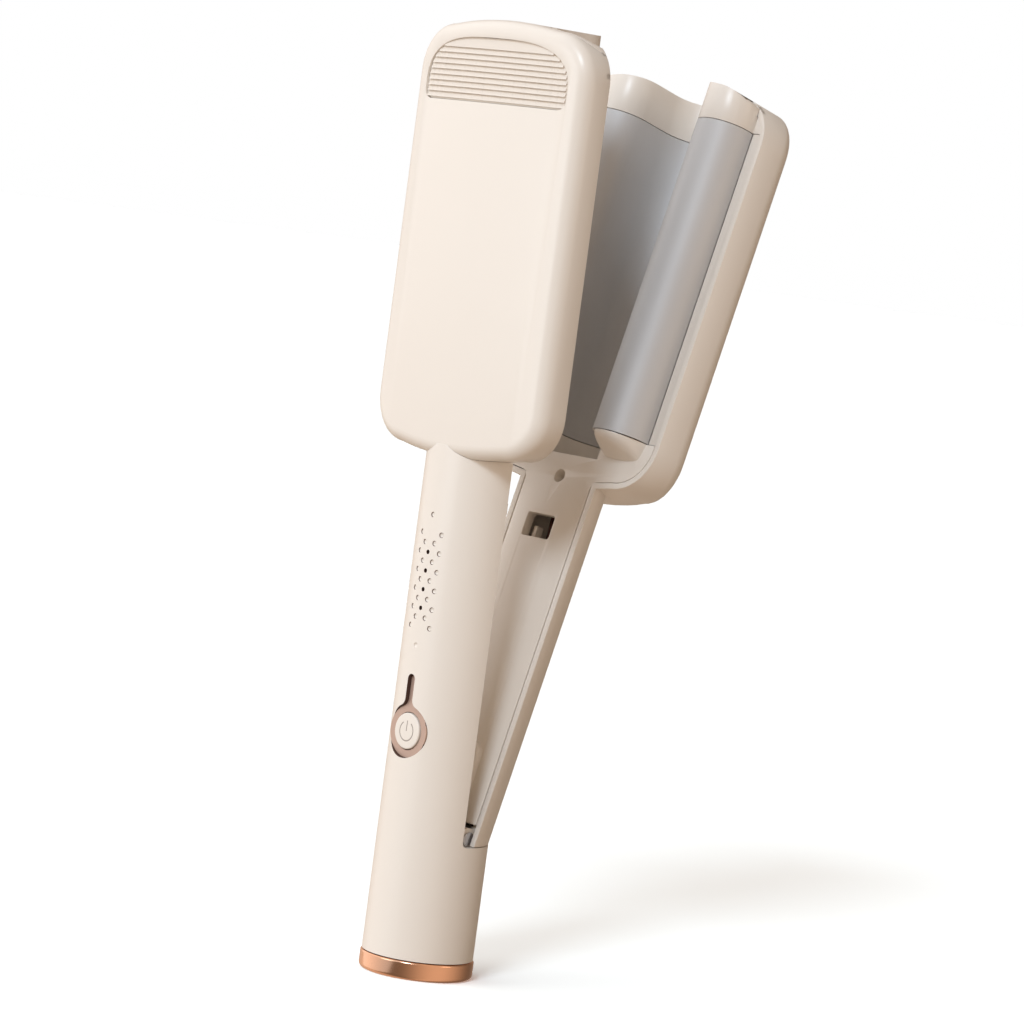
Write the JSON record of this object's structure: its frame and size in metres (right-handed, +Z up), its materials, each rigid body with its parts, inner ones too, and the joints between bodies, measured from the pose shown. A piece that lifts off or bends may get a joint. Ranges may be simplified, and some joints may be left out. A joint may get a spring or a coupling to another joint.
{
  "type": "curling wand",
  "caption": "Two-arm deep wave iron with a spring-open lever, ridged heating plates, power button and closing lock",
  "frame": {"origin": "centre of the grip on the axis of the handle, 89.3 mm above the underside of the base ring", "axes": "+Z up the handle to the heads, -Y towards the front with the button, +Y the way the lever arm opens, +X to the right"},
  "size_m": [0.0856, 0.1196, 0.3298],
  "materials": {
    "cream_shell": "fine satin moulding",
    "cream_trim": "satin moulding",
    "silver_plate": "satin coated",
    "rose_trim": "soft sheen",
    "copper_ring": "polished rose gold",
    "steel": "plain",
    "ceramic": "fired ceramic",
    "mica": "flaky sheet",
    "black_plastic": "plain",
    "circuit_green": "solder mask",
    "light": "clear",
    "black_rubber": "matt",
    "red_wire": "silicone sleeve"
  },
  "bodies": {
    "front_arm": {"handle_shell": "cream_shell", "front_head_cover": "cream_shell", "rib_panel": "cream_trim", "front_top_cap": "cream_trim", "front_bottom_cap": "cream_trim", "front_heating_plate": "silver_plate", "front_heater": "ceramic", "front_insulator": "mica", "front_heater_carrier": "steel", "front_thermistor": "black_plastic", "thermal_fuse": "ceramic", "handle_inner_cover": "cream_trim", "lock_hook": "cream_trim", "circuit_board": "circuit_green", "tact_switch": "black_plastic", "indicator_light_1": "light", "indicator_light_2": "light", "indicator_light_3": "light", "indicator_light_4": "light", "light_guide": "light", "handle_screw_1": "steel", "handle_screw_2": "steel", "handle_screw_3": "steel", "handle_screw_4": "steel", "button_surround": "rose_trim", "button_spring": "steel", "hinge_bracket": "steel", "hinge_pin": "steel", "pin_clip_left": "steel", "pin_clip_right": "steel", "return_spring": "steel", "base_ring": "copper_ring", "base_plate": "cream_trim", "base_screw_left": "steel", "base_screw_right": "steel", "cord_bush": "black_rubber", "terminal_block": "ceramic", "mains_wire_left": "black_rubber", "mains_wire_right": "black_rubber", "front_heater_wire_left": "red_wire", "front_heater_wire_right": "red_wire"},
    "lever_arm": {"lever_shell": "cream_shell", "lever_inner_cover": "cream_shell", "rear_top_cap": "cream_shell", "rear_heating_plate": "silver_plate", "rear_heater_left": "ceramic", "rear_heater_right": "ceramic", "rear_insulator_left": "mica", "rear_insulator_right": "mica", "rear_heater_carrier_left": "steel", "rear_heater_carrier_right": "steel", "rear_thermistor": "black_plastic", "rear_heater_wire_left": "red_wire", "rear_heater_wire_right": "red_wire", "lever_screw_lower": "steel", "lever_screw_upper": "steel"},
    "power_button": {"power_button": "cream_shell"},
    "lock_slider": {"lock_slider": "cream_shell"}
  },
  "joints": [
    {"name": "lever_hinge", "type": "hinge", "parent": "front_arm", "child": "lever_arm", "pos_m": [0, 0.002, -0.03967], "axis": [1, 0, 0], "range_deg": [0, 15.43], "stiffness_Nm_per_rad": 0.2, "springref_deg": -34.38},
    {"name": "button_press", "type": "slide", "parent": "front_arm", "child": "power_button", "axis": [0, 1, 0], "range_m": [0, 0.0006], "stiffness_N_per_m": 600, "springref_m": -0.0008},
    {"name": "lock_slide", "type": "slide", "parent": "lever_arm", "child": "lock_slider", "axis": [0, 0.2661, 0.964], "range_m": [0, 0.003]}
  ]
}
